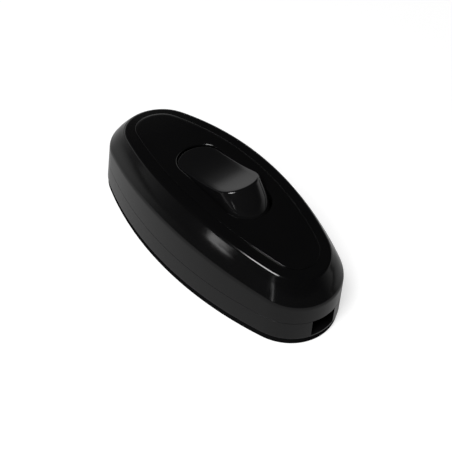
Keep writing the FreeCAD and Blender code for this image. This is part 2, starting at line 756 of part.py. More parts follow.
# Spring: coil between the plunger's shoulder and the end of the bore
def build_spring():
    helix = doc.addObject("Part::Feature", "spring_line")
    rise = size("spring_length") - 2 * size("spring_wire_radius") - 2 * size("seat_gap")
    count = round(size("spring_turns") * LENGTHS_PER_TURN)
    points = []
    for number in range(count + 1):
        turn = 2 * math.pi * number / LENGTHS_PER_TURN
        across = size("spring_radius")
        points.append(V(across * math.cos(turn), across * math.sin(turn), rise * number / count))
    helix.Shape = Part.makePolygon(points)
    wire = doc.addObject("Part::RegularPolygon", "spring_wire")
    wire.Polygon = WIRE_SIDES
    bind(wire, "Circumradius", "spring_wire_radius")
    wire.Placement = FreeCAD.Placement(V(0, 0, 0), FreeCAD.Rotation(V(1, 0, 0), 90))
    bind(wire, "Placement.Base.x", "spring_radius")
    spring = doc.addObject("Part::Sweep", "plunger_spring")
    spring.Sections = [wire]
    spring.Spine = (helix, [f"Edge{number}" for number in range(1, count + 1)])
    spring.Solid = True
    spring.Transition = "Right corner"
    spring.Label = "plunger_spring"
    doc.recompute()
    tilt = FreeCAD.Rotation(V(0, -1, 0), 1)
    spring.Placement = FreeCAD.Placement(V(0, 0, 0), tilt)
    rise = "(plunger_head_height + spring_wire_radius + seat_gap)"
    bind(spring, "Placement.Rotation.Angle", "rocker_tilt * 1 deg")
    place(spring, x=f"-{rise} * sin(rocker_tilt * 1 deg)",
          z=f"pivot_height + {rise} * cos(rocker_tilt * 1 deg)")
    return spring


# Rocking contact: a shallow brass vee on the cradle, with its silver tip
def build_contact():
    wings = []
    for side in (1, -1):
        tag = "right" if side > 0 else "left"
        wing = box(f"wing_{tag}", "contact_half_length", "metal_width", "metal_thickness",
                   x="contact_half_length / 2", z="-metal_thickness")
        holder = doc.addObject("Part::Compound", f"wing_holder_{tag}")
        holder.Links = [wing]
        turn = 180 if side < 0 else 0
        holder.Placement = FreeCAD.Placement(V(0, 0, 0), FreeCAD.Rotation(V(0, 0, 1), turn))
        tilted = doc.addObject("Part::Compound", f"wing_tilted_{tag}")
        tilted.Links = [holder]
        axis = V(0, -side, 0)
        tilted.Placement = FreeCAD.Placement(V(0, 0, 0), FreeCAD.Rotation(axis, 1))
        bind(tilted, "Placement.Rotation.Angle", "contact_rise_angle * 1 deg")
        wings.append(tilted)
    heel = cross_cylinder("contact_heel", "metal_thickness", "metal_width", "0")
    below = box("heel_half", "2 * metal_thickness", "metal_width", "metal_thickness",
                z="-metal_thickness")
    lower_heel = combine("MultiCommon", "lower_heel", [heel, below])
    contact = combine("MultiFuse", "rocking_contact", wings + [lower_heel])
    contact.Label = "rocking_contact"
    contact.Placement = FreeCAD.Placement(V(0, 0, 0), FreeCAD.Rotation(V(0, 1, 0), 1))
    bind(contact, "Placement.Rotation.Angle", "contact_swing * 1 deg")
    place(contact, z="vertex_height")

    raised = "((contact_rise_angle + contact_swing) * 1 deg)"
    tip = cylinder("moving_contact_tip", "contact_tip_radius", "moving_tip_thickness")
    tip.Label = "moving_contact_tip"
    tip.Placement = FreeCAD.Placement(V(0, 0, 0), FreeCAD.Rotation(V(0, 1, 0), 1))
    bind(tip, "Placement.Rotation.Angle", raised)
    along = "(contact_half_length - contact_tip_radius)"
    under = "(metal_thickness + moving_tip_thickness)"
    place(tip, x=f"-{along} * cos{raised} - {under} * sin{raised}",
          z=f"vertex_height + {along} * sin{raised} - {under} * cos{raised}")
    return [contact, tip]


def strip(made, name, from_x, to_x, height, z="floor_thickness"):
    """A flat length of brass between two places along the casing."""
    drawn = sketch(made, name, x=f"(({from_x}) + ({to_x})) / 2", z=z)
    rectangle(drawn, f"({to_x}) - ({from_x})", "metal_width")
    return pad(made, drawn, height)


# Fulcrum bracket: cradle under the rocking contact, stop tab and tail under its terminal
def build_fulcrum():
    bracket = body("fulcrum_bracket")
    strip(bracket, "fulcrum_strip", "-cradle_half_length",
          "terminal_reach + terminal_length / 2", "metal_thickness")
    strip(bracket, "fulcrum_cradle", "-cradle_half_length", "cradle_half_length",
          "vertex_height - metal_thickness / 2 - floor_thickness")
    resting = "((contact_rise_angle - contact_swing) * 1 deg)"
    stop_top = (f"vertex_height - metal_thickness / cos{resting} - seat_gap - floor_thickness"
                f" + (contact_half_length - 2 * metal_thickness) * tan{resting}")
    strip(bracket, "stop_tab", "contact_half_length - 2 * metal_thickness",
          "contact_half_length - metal_thickness", stop_top)
    notch = sketch(bracket, "cradle_notch", "XZ_Plane", y="vertex_height")
    circle(notch, "metal_thickness + cradle_seat_gap")
    pocket(bracket, notch, "2 * metal_width", both_ways=True)
    for side in (1, -1):
        tag = "right" if side > 0 else "left"
        relief = sketch(bracket, f"cradle_relief_{tag}", "XZ_Plane", y="vertex_height")
        relief_angle = f"{-side} * (contact_rise_angle - contact_swing - cradle_relief) * 1 deg"
        bind(relief, "AttachmentOffset.Base.x", f"{side} * cradle_half_length")
        rectangle(relief, "2 * cradle_half_length",
                  "2 * (metal_thickness + cradle_seat_gap + seat_gap)")
        bind(relief, "AttachmentOffset.Rotation.Angle", relief_angle)
        pocket(bracket, relief, "2 * metal_width", both_ways=True)
    return bracket


# Fixed contact bracket and its silver tip
def build_fixed_contact():
    bracket = body("fixed_contact_bracket")
    reach = "contact_half_length - contact_tip_radius"
    strip(bracket, "fixed_strip", "-terminal_reach - terminal_length / 2",
          f"-({reach}) + contact_tip_radius + strip_margin", "metal_thickness")
    closed = "((contact_rise_angle - contact_swing) * 1 deg)"
    tip = cylinder("fixed_contact_tip", "contact_tip_radius", "fixed_tip_thickness",
                   x=f"-({reach}) * cos{closed}", z="floor_thickness + metal_thickness")
    tip.Label = "fixed_contact_tip"
    return [bracket, tip]


def terminal_bores(made, name, side, x, y, base_z, height):
    """Wire bore from the outer end, past the screw bore from above."""
    wire = sketch(made, name + "_wire", "YZ_Plane", x=y, y=f"{base_z} + wire_bore_rise",
                  z=f"{x} + {side} * terminal_length / 2")
    circle(wire, "wire_bore_radius")
    pocket(made, wire, "terminal_length - bore_end_wall", up=side < 0)
    screw = sketch(made, name + "_screw", x=x, y=y, z=f"{base_z} + {height}")
    circle(screw, "terminal_screw_radius + screw_clearance")
    pocket(made, screw, f"{height} - wire_bore_rise")


# Terminal block on the tail of a live bracket
def build_terminal(name, side):
    block = body(name)
    base_z = "(floor_thickness + metal_thickness)"
    outline = sketch(block, name + "_outline", x=f"{side} * terminal_reach", z=base_z)
    rectangle(outline, "terminal_length", "terminal_width")
    pad(block, outline, "terminal_height")
    terminal_bores(block, name, side, f"{side} * terminal_reach", "0", base_z, "terminal_height")
    return block


# Neutral link: one brass bar with a terminal at each end
def build_link():
    link = body("neutral_link")
    bar = sketch(link, "link_bar", y="link_bar_offset", z="floor_thickness")
    rectangle(bar, "2 * link_reach", "link_bar_width")
    pad(link, bar, "link_bar_height")
    for side in (1, -1):
        tag = "right" if side > 0 else "left"
        outline = sketch(link, f"link_block_{tag}", x=f"{side} * link_reach", y="link_offset",
                         z="floor_thickness")
        rectangle(outline, "terminal_length", "link_block_width")
        pad(link, outline, "terminal_height")
    for side in (1, -1):
        tag = "right" if side > 0 else "left"
        terminal_bores(link, f"link_{tag}", side, f"{side} * link_reach", "link_offset",
                       "floor_thickness", "terminal_height")
    return link


# Screw with a round head and a driver slot, standing head up on its seat
def build_screw(name, radius, length, head_radius, head_height, x, y, z, head_down=False):
    shank = cylinder(name + "_shank", radius, f"({length}) + ({head_height}) / 2",
                     z=f"-({length})")
    head = cylinder(name + "_head", head_radius, head_height)
    whole = combine("MultiFuse", name + "_whole", [shank, head])
    groove = box(name + "_groove", f"3 * ({head_radius})", "slot_cut_width", "2 * slot_cut_depth",
                 z=f"({head_height}) - slot_cut_depth")
    screw = cut(name, whole, groove)
    screw.Label = name
    turn = 180 if head_down else 0
    screw.Placement = FreeCAD.Placement(V(0, 0, 0), FreeCAD.Rotation(V(1, 0, 0), turn))
    place(screw, x, y, z)
    return screw


# Cord grip: bar with a tooth that presses the cord, held by two screws
def build_grip(name, side):
    grip = body(name)
    plate = sketch(grip, name + "_plate", x=f"{side} * grip_reach", z="grip_seat_height")
    rectangle(plate, "grip_bar_length", "2 * grip_bar_half_width")
    pad(grip, plate, "grip_bar_thickness")
    tooth = sketch(grip, name + "_tooth", x=f"{side} * grip_reach",
                   z="grip_seat_height - grip_tooth_depth")
    rectangle(tooth, "grip_bar_length / 3", "2 * (grip_screw_offset - tooth_gap) - grip_post_width")
    pad(grip, tooth, "grip_tooth_depth + grip_bar_thickness / 2")
    for across in (1, -1):
        tag = "back" if across > 0 else "front"
        bore = sketch(grip, f"{name}_bore_{tag}", x=f"{side} * grip_reach",
                      y=f"{across} * grip_screw_offset", z="grip_seat_height")
        circle(bore, "grip_screw_radius + 2 * screw_clearance")
        pocket(grip, bore, "grip_bar_thickness + overrun", up=True)
    return grip


def build_all():
    pieces = [build_cover(), build_base(), build_rocker(), build_plunger(), build_spring()]
    pieces += build_contact()
    pieces.append(build_fulcrum())
    pieces += build_fixed_contact()
    pieces.append(build_terminal("live_in_terminal", 1))
    pieces.append(build_terminal("live_out_terminal", -1))
    pieces.append(build_link())
    live_seat = "floor_thickness + metal_thickness + terminal_height"
    link_seat = "floor_thickness + terminal_height"
    for side in (1, -1):
        end = "in" if side > 0 else "out"
        tag = "right" if side > 0 else "left"
        pieces.append(build_screw(
            f"live_{end}_screw", "terminal_screw_radius",
            "terminal_height - wire_bore_rise - wire_bore_radius / 2", "terminal_head_radius",
            "terminal_head_height", f"{side} * terminal_reach", "0", live_seat))
        pieces.append(build_screw(
            f"neutral_{end}_screw", "terminal_screw_radius",
            "terminal_height - wire_bore_rise - wire_bore_radius / 2", "terminal_head_radius",
            "terminal_head_height", f"{side} * link_reach", "link_offset", link_seat))
        pieces.append(build_grip(f"cord_grip_{tag}", side))
        for across in (1, -1):
            place_tag = f"{tag}_{'back' if across > 0 else 'front'}"
            pieces.append(build_screw(
                f"grip_screw_{place_tag}", "grip_screw_radius", "grip_screw_length",
                "grip_head_radius", "grip_head_height", f"{side} * grip_reach",
                f"{across} * grip_screw_offset", "grip_seat_height + grip_bar_thickness"))
        pieces.append(build_screw(
            f"housing_screw_{tag}", "housing_screw_radius", "housing_screw_length",
            "housing_head_radius", "housing_head_height", f"{side} * housing_screw_reach",
            f"{-side} * housing_screw_offset", "housing_head_recess", head_down=True))
    return pieces


def check(pieces):
    """Stop on a failed object, an empty cut or a piece that isn't one sound solid."""
    faults = []
    for one in doc.Objects:
        if "Invalid" in one.State or "Error" in one.State:
            faults.append(f"{one.Name}: {one.State} {one.getStatusString()}")
        elif one.TypeId == "PartDesign::Pocket" and not one.BaseFeature.Shape.isNull():
            before = one.BaseFeature.Shape.Volume
            if before - one.Shape.Volume < SMALLEST_CUT:
                faults.append(f"{one.Name}: cuts nothing")
    for piece in pieces:
        shape = piece.Shape
        if shape.isNull() or not shape.isValid():
            faults.append(f"{piece.Label}: bad shape")
        elif len(shape.Solids) != 1:
            faults.append(f"{piece.Label}: {len(shape.Solids)} solids")
    if faults:
        raise RuntimeError("\n".join(faults))


parts = build_all()
doc.recompute()
check(parts)
os.makedirs("parts", exist_ok=True)
for part in parts:
    part.Shape.exportStep(f"parts/{part.Label}.step")
    print(part.Label, round(part.Shape.Volume, 2))
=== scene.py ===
import json
import math

import bmesh
import bpy
from mathutils import Matrix, Vector


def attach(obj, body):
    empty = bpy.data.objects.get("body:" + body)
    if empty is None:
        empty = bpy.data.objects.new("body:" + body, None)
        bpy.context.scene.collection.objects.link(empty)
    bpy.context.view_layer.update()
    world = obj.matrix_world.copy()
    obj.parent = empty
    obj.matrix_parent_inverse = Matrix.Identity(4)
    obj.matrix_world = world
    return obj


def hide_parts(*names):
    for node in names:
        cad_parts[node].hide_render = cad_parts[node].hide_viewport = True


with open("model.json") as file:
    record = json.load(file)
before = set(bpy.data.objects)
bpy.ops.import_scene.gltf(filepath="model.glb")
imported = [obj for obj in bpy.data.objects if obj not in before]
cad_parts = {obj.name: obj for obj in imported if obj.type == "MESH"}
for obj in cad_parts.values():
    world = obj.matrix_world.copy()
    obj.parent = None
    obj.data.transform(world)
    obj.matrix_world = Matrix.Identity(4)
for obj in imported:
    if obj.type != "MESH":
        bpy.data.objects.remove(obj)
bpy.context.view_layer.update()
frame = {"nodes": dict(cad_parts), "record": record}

MM = 0.001
WELD = 0.002 * MM
SMOOTH_ANGLE = 40

# The photograph's frame, in pixels, and the camera that took it
PHOTO_WIDTH = 452
FOCAL_PIXELS = 1015.6
CENTRE_RIGHT_PIXELS = -0.35
CENTRE_DOWN_PIXELS = 0.73
SENSOR_WIDTH = 36.0
AZIMUTH = math.radians(45.22)
ELEVATION = math.radians(46.22)
ROLL = math.radians(6.62)
DISTANCE = 270.4 * MM
AIM_RIGHT = 2.18 * MM
AIM_UP = 3.15 * MM

# The floor: pale near the casing and darker far off. Its glow keeps it white in the picture
FLOOR_SIZE = 6
FLOOR_DROP = 0.02 * MM
FLOOR_NEAR, FLOOR_FAR = 0.12, 0.32
FLOOR_SHADE, FLOOR_FAR_SHADE = 0.47, 0.08
FLOOR_GLOW, FLOOR_FAR_GLOW = 0.68, 1.0
FLOOR_GLOW_IN_GLOSS = 0.06

# The tent: grey levels by the height of the look, and the side on which it is bright
TENT_LEVELS = ((0.0, 0.85), (0.24, 0.85), (0.31, 0.2), (0.41, 0.04), (0.52, 0.012),
               (1.0, 0.012))
TENT_BRIGHT_SIDE = (-0.71, 0.7, 0)
TENT_SIDE_START = -0.3
TENT_SIDE_FULL = 0.75
TENT_DARK_SHARE = 0.06

# Soft lamps: name, azimuth and elevation in degrees, distance, width and height in metres, watts
LAMPS = (
    ("overhead_softbox", 17, 56, 0.75, 0.27, 0.32, 6.0),
    ("low_strip_left", -10, 12.5, 0.7, 0.12, 0.018, 0.075),
    ("low_strip_front", 21, 11, 0.7, 0.025, 0.13, 0.04),
)
LAMP_AIM = Vector((0, 0, 10 * MM))


# Studio
def photo_camera():
    """The camera of the photograph: it looks at the casing from its near right, rolled a little."""
    back = Vector((math.sin(AZIMUTH) * math.cos(ELEVATION),
                   -math.cos(AZIMUTH) * math.cos(ELEVATION), math.sin(ELEVATION)))
    level_right = Vector((math.cos(AZIMUTH), math.sin(AZIMUTH), 0))
    level_up = back.cross(level_right)
    right = math.cos(ROLL) * level_right + math.sin(ROLL) * level_up
    up = back.cross(right)
    data = bpy.data.cameras.new("photo_camera")
    data.sensor_width = SENSOR_WIDTH
    data.lens = FOCAL_PIXELS / PHOTO_WIDTH * SENSOR_WIDTH
    data.shift_x = -CENTRE_RIGHT_PIXELS / PHOTO_WIDTH
    data.shift_y = CENTRE_DOWN_PIXELS / PHOTO_WIDTH
    data.clip_start = 1 * MM
    camera = bpy.data.objects.new("photo_camera", data)
    bpy.context.scene.collection.objects.link(camera)
    turn = Matrix((right, up, back)).transposed().to_4x4()
    place = AIM_RIGHT * right + AIM_UP * up + DISTANCE * back
    camera.matrix_world = Matrix.Translation(place) @ turn
    bpy.context.scene.camera = camera


def reckon(nodes, links, operation, one, other):
    """A Math node on two values, of which the second may be a plain number."""
    made = nodes.new("ShaderNodeMath")
    made.operation = operation
    links.new(one, made.inputs[0])
    if isinstance(other, float):
        made.inputs[1].default_value = other
    else:
        links.new(other, made.inputs[1])
    return made.outputs[0]


def spread(nodes, links, value, low, high, start=0, stop=1):
    """Map a value that runs from start to stop onto the range from low to high."""
    made = nodes.new("ShaderNodeMapRange")
    made.inputs["From Min"].default_value = start
    made.inputs["From Max"].default_value = stop
    made.inputs["To Min"].default_value = low
    made.inputs["To Max"].default_value = high
    links.new(value, made.inputs["Value"])
    return made.outputs["Result"]


def ray_kind(nodes, links, names):
    """1 for rays of any of the kinds named, and 0 for the rest."""
    path = nodes.new("ShaderNodeLightPath")
    seen = path.outputs[names[0]]
    for name in names[1:]:
        seen = reckon(nodes, links, "MAXIMUM", seen, path.outputs[name])
    return seen


def floor():
    """A wide pale floor. It keeps shadows, glows for what sees it, and is clear from below."""
    bpy.ops.mesh.primitive_plane_add(size=FLOOR_SIZE, location=(0, 0, -FLOOR_DROP))
    sheet = bpy.context.object
    sheet.name = "floor"
    paint = bpy.data.materials.new("pale_floor")
    paint.use_nodes = True
    nodes, links = paint.node_tree.nodes, paint.node_tree.links
    nodes.clear()
    where = nodes.new("ShaderNodeTexCoord")
    away = nodes.new("ShaderNodeVectorMath")
    away.operation = "LENGTH"
    links.new(where.outputs["Object"], away.inputs[0])
    distance = away.outputs["Value"]
    matt = nodes.new("ShaderNodeBsdfDiffuse")
    shade = spread(nodes, links, distance, FLOOR_SHADE, FLOOR_FAR_SHADE, FLOOR_NEAR, FLOOR_FAR)
    links.new(shade, matt.inputs["Color"])
    level = spread(nodes, links, distance, FLOOR_GLOW, FLOOR_FAR_GLOW, FLOOR_NEAR, FLOOR_FAR)
    seen = ray_kind(nodes, links, ["Is Camera Ray"])
    direct = reckon(nodes, links, "MULTIPLY", seen, level)
    bounced = ray_kind(nodes, links, ["Is Glossy Ray", "Is Transmission Ray"])
    mirrored = reckon(nodes, links, "MULTIPLY", bounced, FLOOR_GLOW_IN_GLOSS)
    glow = nodes.new("ShaderNodeEmission")
    glow.inputs["Color"].default_value = (1, 1, 1, 1)
    links.new(reckon(nodes, links, "ADD", direct, mirrored), glow.inputs["Strength"])
    both = nodes.new("ShaderNodeAddShader")
    links.new(matt.outputs[0], both.inputs[0])
    links.new(glow.outputs[0], both.inputs[1])
    clear = nodes.new("ShaderNodeBsdfTransparent")
    facing = nodes.new("ShaderNodeNewGeometry")
    one_sided = nodes.new("ShaderNodeMixShader")
    links.new(facing.outputs["Backfacing"], one_sided.inputs["Fac"])
    links.new(both.outputs[0], one_sided.inputs[1])
    links.new(clear.outputs[0], one_sided.inputs[2])
    out = nodes.new("ShaderNodeOutputMaterial")
    links.new(one_sided.outputs[0], out.inputs["Surface"])
    sheet.data.materials.append(paint)


def tent():
    """The light tent: a dark studio with a bright band low down behind the casing."""
    world = bpy.data.worlds.new("tent")
    bpy.context.scene.world = world
    world.use_nodes = True
    nodes, links = world.node_tree.nodes, world.node_tree.links
    nodes.clear()
    out = nodes.new("ShaderNodeOutputWorld")
    where = nodes.new("ShaderNodeTexCoord")
    split = nodes.new("ShaderNodeSeparateXYZ")
    links.new(where.outputs["Generated"], split.inputs[0])
    band = nodes.new("ShaderNodeValToRGB")
    links.new(split.outputs["Z"], band.inputs["Fac"])
    set_stops(band, TENT_LEVELS)
    side = nodes.new("ShaderNodeVectorMath")
    side.operation = "DOT_PRODUCT"
    side.inputs[1].default_value = TENT_BRIGHT_SIDE
    links.new(where.outputs["Generated"], side.inputs[0])
    facing = nodes.new("ShaderNodeMapRange")
    facing.interpolation_type = "SMOOTHSTEP"
    facing.inputs["From Min"].default_value = TENT_SIDE_START
    facing.inputs["From Max"].default_value = TENT_SIDE_FULL
    facing.inputs["To Min"].default_value = TENT_DARK_SHARE
    links.new(side.outputs["Value"], facing.inputs["Value"])
    shade = nodes.new("ShaderNodeMix")
    shade.data_type = "RGBA"
    shade.inputs["A"].default_value = (0, 0, 0, 1)
    links.new(facing.outputs["Result"], shade.inputs["Factor"])
    links.new(band.outputs["Color"], shade.inputs["B"])
    inside = nodes.new("ShaderNodeBackground")
    links.new(shade.outputs["Result"], inside.inputs["Color"])
    backdrop = nodes.new("ShaderNodeBackground")
    backdrop.inputs["Color"].default_value = (1, 1, 1, 1)
    mix = nodes.new("ShaderNodeMixShader")
    links.new(ray_kind(nodes, links, ["Is Camera Ray"]), mix.inputs["Fac"])
    links.new(inside.outputs[0], mix.inputs[1])
    links.new(backdrop.outputs[0], mix.inputs[2])
    links.new(mix.outputs[0], out.inputs["Surface"])


def set_stops(ramp, levels):
    """Grey levels of a colour ramp, as position and level."""
    stops = ramp.color_ramp.elements
    stops[0].position, stops[1].position = levels[0][0], levels[-1][0]
    stops[0].color = (levels[0][1],) * 3 + (1,)
    stops[1].color = (levels[-1][1],) * 3 + (1,)
    for position, level in levels[1:-1]:
        stops.new(position).color = (level, level, level, 1)


def lamp(name, azimuth, elevation, distance, width, height, watts):
    """A rectangular lamp that faces the casing. Its azimuth is measured as the camera's is."""
    turn, rise = math.radians(azimuth), math.radians(elevation)
    heading = Vector((math.sin(turn) * math.cos(rise), -math.cos(turn) * math.cos(rise),
                      math.sin(rise)))
    data = bpy.data.lights.new(name, "AREA")
    data.shape = "RECTANGLE"
    data.size = width
    data.size_y = height
    data.energy = watts
    made = bpy.data.objects.new(name, data)
    bpy.context.scene.collection.objects.link(made)
    made.location = heading * distance + LAMP_AIM
    made.rotation_mode = "QUATERNION"
    made.rotation_quaternion = (-heading).to_track_quat("-Z", "Y")
    made.visible_camera = False


# Sizes of the moulded cover, in millimetres
HALF_LENGTH = 40.5
HALF_WIDTH = 18.2
END_RADIUS = 13.4
WALL_LEAN = 0.05
PARTING_HEIGHT = 7.7
SHOULDER_HEIGHT = 12.9
SHOULDER_FLARE = 1.45
SHOULDER_RADIUS = 13.2
CROWN_HEIGHT = 21.7
CROWN_DROP = 4.1
TOP_END_RUN = 6.6
TOP_SIDE_RUN = 5.25
TOP_RADIUS = 9.0
PANEL = (32.7, 10.75, 6.6)
PANEL_STEP = 0.35
WALL_THICKNESS = 2.0
ROOF_THICKNESS = 1.8
SKIRT_BULGE = 0.12
SWELL_SHARES = (0.3, 0.5, 0.7)
HIGHEST_SHOULDER = 17.0
SEARCH_ABOVE_CROWN = 4
LONGEST_REACH = 60
CROWN_RADIUS = (HALF_LENGTH ** 2 + CROWN_DROP ** 2) / (2 * CROWN_DROP)

# The rocker's hole, and the bosses and ribs under the roof
HOLE_LENGTH = 14.9
HOLE_RADIUS = 6.5
HOLE_RELIEF = 0.9
LIP_DEPTH = 0.6
END_SHARE = 0.92
BOSS_RADIUS = 3.0
BOSS_BORE = 1.55
BOSS_HEIGHTS = (7.8, 20.0)
BOSS_BORE_HEIGHTS = (7.0, 15.6)
BOSS_UNDER_SKIN = 0.9
SEAT_RIB_HEIGHTS = (12.1, 20.8)

# Rings of the two casing skins that are rounded, by number, and how far their rounds reach
COVER_FOOT_RING = 3
SHOULDER_RING = 6
RIM_RING = 12
PANEL_EDGE_RING = 16
BEND_RING = 4
LEDGE_EDGE_RING = 7
WALL_TOP_RING = 11
PARTING_ROUND = 0.06
SHOULDER_ROUND = 0.6
RIM_ROUND = 0.5
PANEL_EDGE_ROUND = 0.1
LIP_ROUND = 0.4
BEND_ROUND = 0.2
LEDGE_ROUND = 0.1

# Points close to a round, which keep the faces beside it flat, and points round the outlines
SUPPORT = 0.3
FOOT_SUPPORT = 0.4
LIP_SUPPORT = 0.6
PANEL_MARGIN = 1
PANEL_SHARES = (0.25, 0.5, 0.75, 1.0)
ROOF_SHARES = (0.0, 0.5, 1.0)
SOLE_SHARES = (0.6, 0.95)
WALL_SHARES = (0.06, 0.5, 0.94)
EDGE_SHARE = 0.8
COVER_END_SAMPLES = 44
COVER_SIDE_SAMPLES = 44

# Sizes of the base tray
FOOT_INSET = 0.65
FOOT_BEND = (0.3, 0.25)
FOOT_HEIGHT = 2.2
FOOT_LEDGE = 0.15
SOLE_SKIN = 0.01
LEDGE_SKIN = 0.05
BASE_WALL = 2.8
FLOOR_THICKNESS = 2.2
LIP_HEIGHT = 1.2
LIP_CLEARANCE = 0.1
SLOT_WIDTH = 7.4
SLOT_SILL = 2.7
TOWER_RADIUS = 4.0
HEAD_RECESS = (3.0, 2.6)
HOUSING_BORE = 1.6
SCREW_PLACE = (25.0, 8.1)
GRIP_PLACE = (31.41, 5.6)
GRIP_POST = 2.1
GRIP_POST_TOP = 7.0
GRIP_BORE = 1.15
GRIP_BORE_HEIGHTS = (2.6, 9)
CHEEK_OFFSET = 6.6
CHEEK_THICKNESS = 2.0
CHEEK_HALF_LENGTH = 4.0
CHEEK_MIDDLE = CHEEK_OFFSET + CHEEK_THICKNESS / 2
TERMINAL_PLACE = (22.5, 3.5)
LINK_PLACE = (17.5, 6.52)
RIB_HALF_LENGTH = 3
RIB_HALF_THICKNESS = 0.4
RIB_HEIGHT = 3.6

# How deep joined pieces are rooted in each other, and how far cutters reach past what they cut
ROOTED = 0.5
BELOW_SOLE = -1
ABOVE_TRAY = 12
PAST_END = 5
PAST_SIDE = 20

# Sizes of the rocker about its pivot
PIVOT_HEIGHT = 12.0
ROCKER_TILT = math.radians(13)
ROCKER_REACH = 17.0
ROCKER_RADIUS = 6.1
ROCKER_CORNER = 12.18
ROCKER_DIP = 1.1
ROCKER_SKIN = 1.7
ROCKER_FOOT = -1.0
ROCKER_CEILING = ROCKER_CORNER - ROCKER_DIP - 2 * ROCKER_SKIN
ROCKER_ROUND = 0.35
ROCKER_LOWEST_EDGE = 9.0
ROCKER_WALL_HEIGHTS = (1.0, 3.0, 5.0, 7.0, 8.5)
ROCKER_ROUND_STEPS = 6
ROCKER_TOP_SHARES = (0.2, 0.4, 0.6, 0.8, 1.0)
ROCKER_END_SAMPLES = 40
ROCKER_SIDE_SAMPLES = 28
TRUNNION_RADIUS = 2.0
SEAT_GAP = 0.05
TRUNNION_TIP = 8.4
HUB_RADIUS = 3.4
HUB_DEPTH = 3.5
PLUNGER_BORE = 2.06
PLUNGER_BORE_TOP = 6.9


# Outlines
def side_radius(length, width, radius):
    """The radius of an oval's long sides, from its half sizes and the radius of its ends."""
    return ((length - radius) ** 2 + width ** 2 - radius ** 2) / (2 * (width - radius))


def oval_gap(x, y, length, width, radius):
    """How far a point lies outside an oval of four tangent arcs; below zero inside it."""
    side = side_radius(length, width, radius)
    x, y = abs(x), abs(y)
    end = length - radius
    if y * end <= (x - end) * (side - width):
        return math.hypot(x - end, y) - radius
    return math.hypot(x, y + side - width) - side


def cover_rays():
    """Lines that leave the casing's long axis square to its outline, all the way round."""
    side = side_radius(HALF_LENGTH, HALF_WIDTH, END_RADIUS)
    end = HALF_LENGTH - END_RADIUS
    turn = math.atan2(side - HALF_WIDTH, end)
    rays = []
    for half in (0, math.pi):
        for step in range(COVER_END_SAMPLES):
            angle = -turn + 2 * turn * step / COVER_END_SAMPLES + half
            rays.append((math.cos(half) * end, math.cos(angle), math.sin(angle)))
        for step in range(COVER_SIDE_SAMPLES):
            angle = turn + (math.pi - 2 * turn) * step / COVER_SIDE_SAMPLES + half
            start = (side - HALF_WIDTH) / abs(math.sin(angle)) * math.cos(angle)
            rays.append((start, math.cos(angle), math.sin(angle)))
    return rays


def root(function, low, high, steps=26):
    """Where a function that starts above zero crosses it."""
    for _ in range(steps):
        middle = (low + high) / 2
        if function(middle) > 0:
            low = middle
        else:
            high = middle
    return (low + high) / 2


def reach(ray, outline):
    """The distance along a line to an oval."""
    start, across, up = ray
    return root(lambda far: -oval_gap(start + across * far, up * far, *outline), 0,
                LONGEST_REACH)


def wall_outline(height, inset=0.0):
    lean = WALL_LEAN * height + inset
    return HALF_LENGTH - lean, HALF_WIDTH - lean, END_RADIUS - lean


def skirt_outline(height, inset=0.0):
    share = (height - SHOULDER_HEIGHT) / (CROWN_HEIGHT - SHOULDER_HEIGHT)
    lean = WALL_LEAN * SHOULDER_HEIGHT + inset
    return (HALF_LENGTH - lean - TOP_END_RUN * share,
            HALF_WIDTH - lean + SHOULDER_FLARE - TOP_SIDE_RUN * share,
            SHOULDER_RADIUS - inset - (SHOULDER_RADIUS - TOP_RADIUS) * share)


def crown(x):
    """The height of the arched top over a place along the casing."""
    return CROWN_HEIGHT - CROWN_RADIUS + math.sqrt(CROWN_RADIUS ** 2 - x * x)


def shoulder_and_rim(ray, inset=0.0, roof=0.0):
    """The two edges of the skirt on one line, as distance and height."""
    start, across, _ = ray

    def flare(height):
        return reach(ray, skirt_outline(height, inset)) - reach(ray, wall_outline(height, inset))

    def under_crown(height):
        far = reach(ray, skirt_outline(height, inset))
        return crown(start + across * far) - roof - height

    shoulder = root(flare, SHOULDER_HEIGHT, HIGHEST_SHOULDER)
    rim = root(under_crown, SHOULDER_HEIGHT, CROWN_HEIGHT)
    return ((reach(ray, wall_outline(shoulder, inset)), shoulder),
            (reach(ray, skirt_outline(rim, inset)), rim))


def between(one, other, share):
    return tuple(a + (b - a) * share for a, b in zip(one, other))


def near_corner(before, corner, after, distance):
    """Points close to a corner on both sides of it, which keep the faces beside it flat."""
    back = between(corner, before, distance / math.dist(corner, before))
    on = between(corner, after, distance / math.dist(corner, after))
    return [back, corner, on]


def slot_point(half, step, half_length, half_width, end_samples, side_samples):
    """One point of an outline with straight sides and flattened round ends."""
    end_run = END_SHARE * half_width
    centre = half_length - end_run
    if step < end_samples:
        angle = math.pi * (step / end_samples - 0.5)
        return half * (centre + end_run * math.cos(angle)), half * half_width * math.sin(angle)
    along = 1 - 2 * (step - end_samples) / side_samples
    return half * centre * along, half * half_width


def slot_outline(half_length, half_width, end_samples, side_samples):
    """Points round an outline with straight sides and round ends, from the end at +X."""
    return [slot_point(half, step, half_length, half_width, end_samples, side_samples)
            for half in (1, -1) for step in range(end_samples + side_samples)]


def blend_outlines(one, other, share):
    return [(a[0] + (b[0] - a[0]) * share, a[1] + (b[1] - a[1]) * share)
            for a, b in zip(one, other)]


# Modelling
def deselect():
    bpy.ops.object.select_all(action="DESELECT")


def work_on(piece):
    deselect()
    piece.select_set(True)
    bpy.context.view_layer.objects.active = piece


